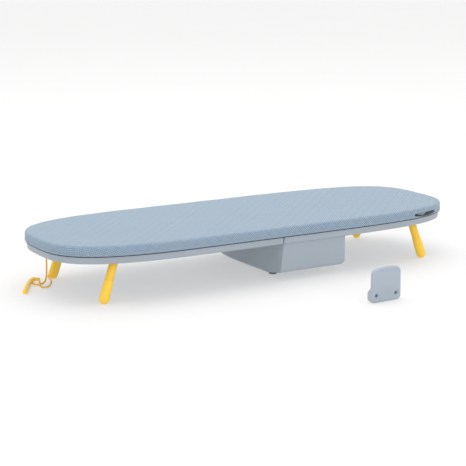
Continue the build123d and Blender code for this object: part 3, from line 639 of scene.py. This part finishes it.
def stitch_row(bm, places, spot, normal, out, radius):
    """One ring of points round a stitch's thread."""
    row = []
    for turn in range(STITCH_SIDES):
        angle = math.tau * turn / STITCH_SIDES
        place = spot + normal * (out + radius * math.cos(angle))
        vert = bm.verts.new((place.x, place.y, STITCH_Z + radius * math.sin(angle)))
        places[vert] = Vector((spot.x + turn * 0.1 * MM, spot.y))
        row.append(vert)
    return row


def make_stitches():
    """Running stitches in the hem's groove, each a short rounded thread that dips at its ends."""
    bm = bmesh.new()
    places = {}
    cloth = bm.loops.layers.uv.new("cloth")
    for centre, normal in stitch_ring():
        along = Vector((-normal.y, normal.x))
        rows = []
        for share in STITCH_SHARES:
            out = STITCH_RISE * (1 - (2 * share) ** 2) - STITCH_SINK
            radius = STITCH_THREAD * (STITCH_TIP if abs(share) == 0.5 else 1.0)
            spot = centre + along * (share * STITCH_LENGTH)
            rows.append(stitch_row(bm, places, spot, normal, out, radius))
        for low, high in zip(rows, rows[1:]):
            band(bm, low, high)
        bm.faces.new(list(reversed(rows[0])))
        bm.faces.new(rows[-1])
    return finish_mesh(bm, "hem_stitches", places, cloth, stitch_thread("stitch_thread"))


def stitch_thread(name):
    """Pale cotton thread with a twist."""
    look = Look(name, Roughness=0.8, Sheen_Weight=0.2)
    twist = look.noise(1800.0, 2.0)
    look.colour(look.mix(twist, srgb(150, 170, 190), srgb(206, 217, 228)))
    look.bump(twist, 0.06 * MM, 0.5)
    return look.material


def half_ring(side, inset, seam):
    """One half's outline at an inset, from the front of the fold round the end to the rear."""
    straight = [side * seam] + [x for x in COLUMNS[side] if abs(x) > 2 * seam]
    half = HALF_WIDTH - inset
    front = [Vector((x, -half)) for x in straight]
    rear = [Vector((x, half)) for x in reversed(straight)]
    return front + end_points(side, inset) + rear


PAD_INSET = 1.4 * MM
PAD_EDGE = 3.4 * MM                     # radius of the pad's top edge
PAD_SEAM = 0.7 * MM                     # from the fold to each pad


def pad_rings():
    """Insets and heights of a pad from the deck up to the end of its rounded top edge."""
    rings = [(PAD_INSET, DECK_TOP + 0.1 * MM)]
    for degrees in range(0, 105, 15):
        angle = math.radians(degrees)
        inset = PAD_INSET + PAD_EDGE * (1 - math.cos(angle))
        rings.append((inset, PAD_TOP - PAD_EDGE * (1 - math.sin(angle))))
    return rings


def make_pad(side, name):
    """Felt pad of one half: a slab with soft edges, cut away round the hinges."""
    bm = bmesh.new()
    cloth = bm.loops.layers.uv.new("cloth")
    rows = []
    for inset, height in pad_rings():
        outline = half_ring(side, inset, PAD_SEAM)
        rows.append([bm.verts.new((point.x, point.y, height)) for point in outline])
    for low, high in zip(rows, rows[1:]):
        band(bm, low, high)
    bm.faces.new(list(reversed(rows[0])))
    bm.faces.new(rows[-1])
    places = {vert: vert.co.xy for vert in bm.verts}
    pad = finish_mesh(bm, name, places, cloth, LOOKS["felt"])
    carve_hinges(pad, side)
    for face in pad.data.polygons:
        face.use_smooth = False
    return pad


HINGE_Y = (-100 * MM, 0.0, 100 * MM)
HINGE_WIDTH = 42 * MM
HINGE_ROOM = (                          # reach from the fold, bottom, top
    (22 * MM, DECK_TOP - MM, DECK_TOP + 2 * MM),
    (2.3 * MM, DECK_TOP, PAD_TOP + MM),
)
PAST_FOLD = 2 * MM                      # how far the cutter reaches over the fold


def carve_hinges(pad, side):
    """Cuts the room for the hinge leaves and knuckles out of a pad."""
    bm = bmesh.new()
    for hinge in HINGE_Y:
        for reach, low, high in HINGE_ROOM:
            centre = Vector((side * (reach - PAST_FOLD) / 2, hinge, (low + high) / 2))
            size = Matrix.Diagonal((reach + PAST_FOLD, HINGE_WIDTH, high - low, 1.0))
            bmesh.ops.create_cube(bm, size=1.0, matrix=Matrix.Translation(centre) @ size)
    mesh = bpy.data.meshes.new("hinge_room")
    bm.to_mesh(mesh)
    bm.free()
    cutter = bpy.data.objects.new("hinge_room", mesh)
    bpy.context.scene.collection.objects.link(cutter)
    cut = pad.modifiers.new("hinges", "BOOLEAN")
    cut.operation = "DIFFERENCE"
    cut.object = cutter
    cut.use_self = True
    apply_modifiers(pad)
    bpy.data.objects.remove(cutter)


def apply_modifiers(piece):
    """Makes the shape that the modifiers give the piece's own."""
    bpy.context.view_layer.update()
    shown = piece.evaluated_get(bpy.context.evaluated_depsgraph_get())
    mesh = bpy.data.meshes.new_from_object(shown)
    piece.modifiers.clear()
    piece.data = mesh


LABEL_START = 288 * MM
LABEL_END = 352 * MM
LABEL_LOW = HEM_Z + 0.8 * MM
LABEL_HIGH = HEM_Z + 7.8 * MM
LABEL_THICKNESS = 0.45 * MM
LABEL_PROUD = 0.55 * MM                 # from the skirt to the label's face
LABEL_CURL = 0.35 * MM                  # how far its ends stand off
LABEL_DROOP = 0.25 * MM                 # how far its long edges lie back
LABEL_SAG = 0.10 * MM
LABEL_SHARES = (0.0, 0.06, 0.25, 0.5, 0.75, 0.94, 1.0)
LABEL_TAPER = 22 * MM                   # length of each slanted end
LABEL_LEFT_RISE = 3.6 * MM              # how far the lower edge rises at the left end
LABEL_RIGHT_RISE = 2.4 * MM


def label_low(x):
    """Height of the label's lower edge, which slants up towards both ends."""
    left = LABEL_LEFT_RISE * max(0.0, 1 - (x - LABEL_START) / LABEL_TAPER)
    right = LABEL_RIGHT_RISE * max(0.0, 1 - (LABEL_END - x) / LABEL_TAPER)
    return LABEL_LOW + left + right


def label_stand(share, rise):
    """How far the label stands off the skirt at a share of its length and of its height."""
    curl = LABEL_CURL * (2 * share - 1) ** 6
    droop = LABEL_DROOP * (2 * rise - 1) ** 8
    return LABEL_PROUD + curl - droop + LABEL_SAG * math.sin(9 * share + 2 * rise)


def make_label():
    """Label sewn on the front of the skirt: slanted lower corners, ends that curl off the cloth."""
    edge = [point for point in ring(0.0) if point.y < 0 and LABEL_START <= point.x <= LABEL_END]
    edge.sort(key=lambda point: point.x)
    bm = bmesh.new()
    cloth = bm.loops.layers.uv.new("cloth")
    places, rows = {}, []
    before, length = edge[0], 0.0
    for i, (point, normal) in enumerate(zip(edge, outward(edge, closed=False))):
        length += (point - before).length
        before = point
        low_z = label_low(point.x)
        row = []
        for rise in LABEL_SHARES:
            place = point + normal * label_stand(i / (len(edge) - 1), rise)
            z = low_z + rise * (LABEL_HIGH - low_z)
            vert = bm.verts.new((place.x, place.y, z))
            places[vert] = Vector((length, z - LABEL_LOW))
            row.append(vert)
        rows.append(row)
    for low, high in zip(rows, rows[1:]):
        for i in range(len(LABEL_SHARES) - 1):
            bm.faces.new((low[i], high[i], high[i + 1], low[i + 1]))
    label = finish_mesh(bm, "woven_hem_label", places, cloth, LOOKS["label_weave"])
    thick = label.modifiers.new("label", "SOLIDIFY")
    thick.thickness = LABEL_THICKNESS
    thick.offset = 1 if label.data.polygons[0].normal.y > 0 else -1
    return label


def round_strand(name, route, radii, finish):
    """A NURBS strand in metres over points in millimetres, with a radius at each point."""
    curve = bpy.data.curves.new(name, "CURVE")
    curve.dimensions = "3D"
    spline = curve.splines.new("NURBS")
    spline.points.add(len(route) - 1)
    for point, place, radius in zip(spline.points, route, radii):
        point.co = (*(MM * value for value in place), 1.0)
        point.radius = radius / radii[0]
    spline.order_u = 3
    spline.use_endpoint_u = True
    spline.resolution_u = 12
    curve.bevel_depth = MM * radii[0]
    curve.bevel_resolution = 4
    curve.use_fill_caps = True
    strand = bpy.data.objects.new(name, curve)
    bpy.context.scene.collection.objects.link(strand)
    curve.materials.append(finish)
    return strand


def make_drawstring():
    """The drawstring over the CAD route's points."""
    radii = [CORD_DIAMETER / MM / 2] * len(CORD_ROUTE_MM)
    return round_strand("drawstring_braid", CORD_ROUTE_MM, radii, LOOKS["yellow_cord"])


# The pull's rounded tip as (reach past its first point, radius), in shares of the first radius
PULL_TIP = ((0.98, 0.05), (0.95, 0.35), (0.75, 0.72), (0.4, 0.95))


def make_pull():
    """The soft pull, thick at its free end and thin at the knot, with a rounded tip."""
    first, second = Vector(PULL_ROUTE_MM[0]), Vector(PULL_ROUTE_MM[1])
    onward = (first - second).normalized() * PULL_RADII_MM[0]
    route = [tuple(first + onward * reach) for reach, _ in PULL_TIP] + PULL_ROUTE_MM
    radii = [PULL_RADII_MM[0] * share for _, share in PULL_TIP] + list(PULL_RADII_MM)
    return round_strand("drawstring_soft_pull", route, radii, LOOKS["yellow_rubber"])


# ---------------------------------------------------------------- stage

FLOOR_GLOW = 0.40
FLOOR_REACH = 60.0
PAPER_DARK = (0.47, 0.465, 0.46, 1.0)
PAPER_LIGHT = (0.49, 0.485, 0.48, 1.0)
LIGHT_AIM = (0.0, 0.0, 0.05)


def floor_material():
    """White paper, lit a little from behind as on a light table."""
    look = Look("studio_floor", Roughness=0.7, Specular_IOR_Level=0.2, Emission_Strength=FLOOR_GLOW)
    look.colour(look.mix(look.noise(3.0, 2.0), PAPER_DARK, PAPER_LIGHT))
    return look.material


def make_floor():
    """A floor that reaches far past the view on every side."""
    mesh = bpy.data.meshes.new("floor")
    corners = [(FLOOR_REACH * x, FLOOR_REACH * y, 0) for x, y in ((-1, -1), (1, -1), (1, 1), (-1, 1))]
    mesh.from_pydata(corners, [], [(0, 1, 2, 3)])
    mesh.materials.append(floor_material())
    floor = bpy.data.objects.new("floor", mesh)
    bpy.context.scene.collection.objects.link(floor)


def make_light(name, place, size, energy):
    """A soft rectangular lamp that faces the middle of the board."""
    light = bpy.data.lights.new(name, "AREA")
    light.shape = "RECTANGLE"
    light.size, light.size_y = size
    light.energy = energy
    lamp = bpy.data.objects.new(name, light)
    lamp.location = place
    lamp.rotation_mode = "QUATERNION"
    lamp.rotation_quaternion = (Vector(LIGHT_AIM) - Vector(place)).to_track_quat("-Z", "Y")
    bpy.context.scene.collection.objects.link(lamp)


def make_world(strength):
    """Even white light from all round."""
    world = bpy.data.worlds.new("studio")
    world.use_nodes = True
    background = world.node_tree.nodes["Background"]
    background.inputs["Color"].default_value = (1.0, 1.0, 1.0, 1.0)
    background.inputs["Strength"].default_value = strength
    bpy.context.scene.world = world


def make_camera():
    """The camera that the views are taken from."""
    camera = bpy.data.cameras.new("camera")
    camera.lens = CAMERA_LENS
    camera.sensor_width = 36.0
    camera.clip_start, camera.clip_end = 0.05, 500.0
    eye = bpy.data.objects.new("camera", camera)
    flat = math.cos(CAMERA_PITCH)
    look = Vector((math.sin(CAMERA_YAW) * flat, math.cos(CAMERA_YAW) * flat, -math.sin(CAMERA_PITCH)))
    turn = look.to_track_quat("-Z", "Y").to_matrix() @ Matrix.Rotation(CAMERA_ROLL, 3, "Z")
    eye.matrix_world = Matrix.Translation(CAMERA_PLACE) @ turn.to_4x4()
    bpy.context.scene.collection.objects.link(eye)
    bpy.context.scene.camera = eye


# ---------------------------------------------------------------- assembly

dress_cad_nodes()

cover = make_cover()
bend_over_fold(cover)
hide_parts("left_cover", "right_cover")

# painted shade: a dark strip under the hem stands in for the shadow line there
hem_shadow_strip = make_hem_shadow_strip()
bend_over_fold(hem_shadow_strip)
stitches = make_stitches()
bend_over_fold(stitches)

for side, half in ((LEFT, "left"), (RIGHT, "right")):
    pad = make_pad(side, f"{half}_felt_pad")
    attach(pad, f"{half}_half")
    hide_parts(f"{half}_pad")

label = make_label()
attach(label, "right_half")
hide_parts("cover_label")

drawstring = make_drawstring()
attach(drawstring, "left_half")
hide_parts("drawstring")
pull = make_pull()
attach(pull, "left_half")
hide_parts("drawstring_pull")

make_floor()
make_world(strength=1.0)
make_light("overhead", place=(0.2, 0.6, 3.4), size=(4.0, 4.0), energy=50.0)
make_light("front", place=(-0.6, -3.4, 1.1), size=(3.0, 1.6), energy=12.0)
make_camera()
bpy.context.scene.view_settings.view_transform = "Standard"
